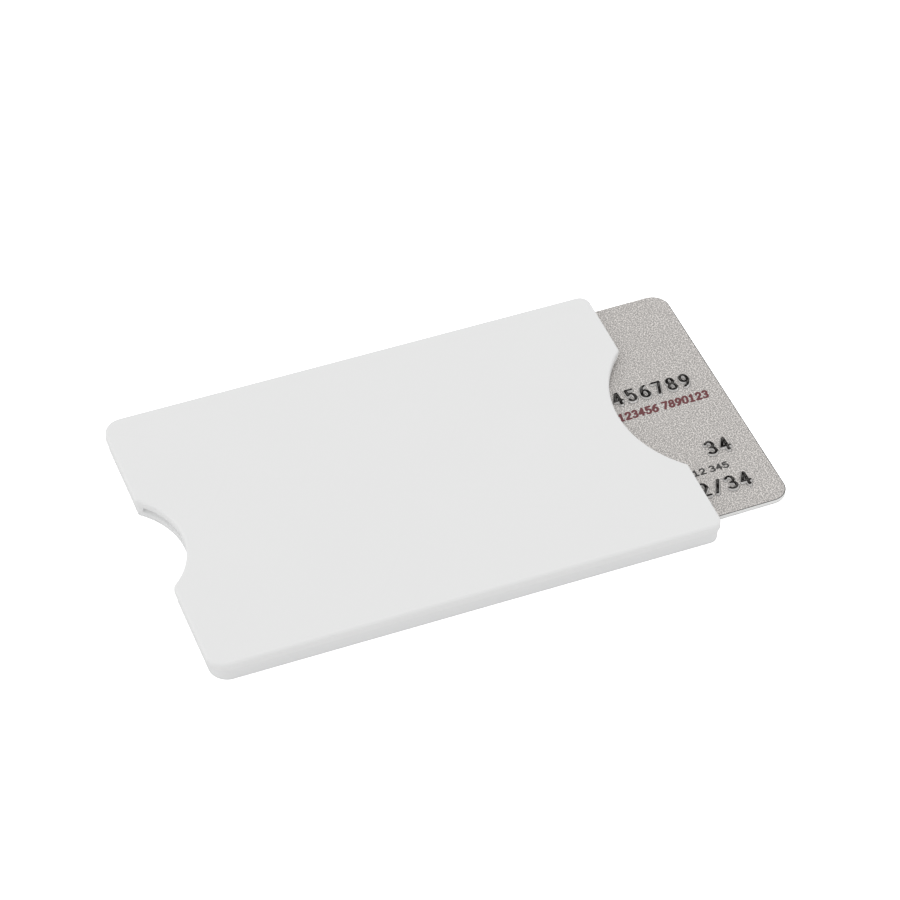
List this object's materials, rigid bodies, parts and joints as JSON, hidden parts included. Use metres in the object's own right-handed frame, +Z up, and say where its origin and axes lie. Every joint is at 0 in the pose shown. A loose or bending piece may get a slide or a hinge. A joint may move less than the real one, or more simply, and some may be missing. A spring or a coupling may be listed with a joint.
{
  "type": "rigid card case",
  "caption": "Flat rigid card case of moulded shells, open at the mouth, with half-moon thumb cut-outs and a card that slides in and out along its slot.",
  "frame": {"origin": "middle of the case's underside", "axes": "+X along the slot towards the open mouth, +Y towards a long side, +Z up through the cover"},
  "size_m": [0.1043, 0.0604, 0.0041],
  "materials": {
    "cover_moulding": "white moulded plastic, fine satin",
    "base_moulding": "white moulded plastic, fine satin",
    "card_face": "silver grey printed card, fine grain, white core at the edge"
  },
  "bodies": {
    "case": {"base_shell": "base_moulding", "cover_shell": "cover_moulding"},
    "card": {"card": "card_face"}
  },
  "joints": [
    {"name": "card_slide", "type": "slide", "parent": "case", "child": "card", "axis": [1, 0, 0], "range_m": [-0.0167, 0.0733]}
  ]
}
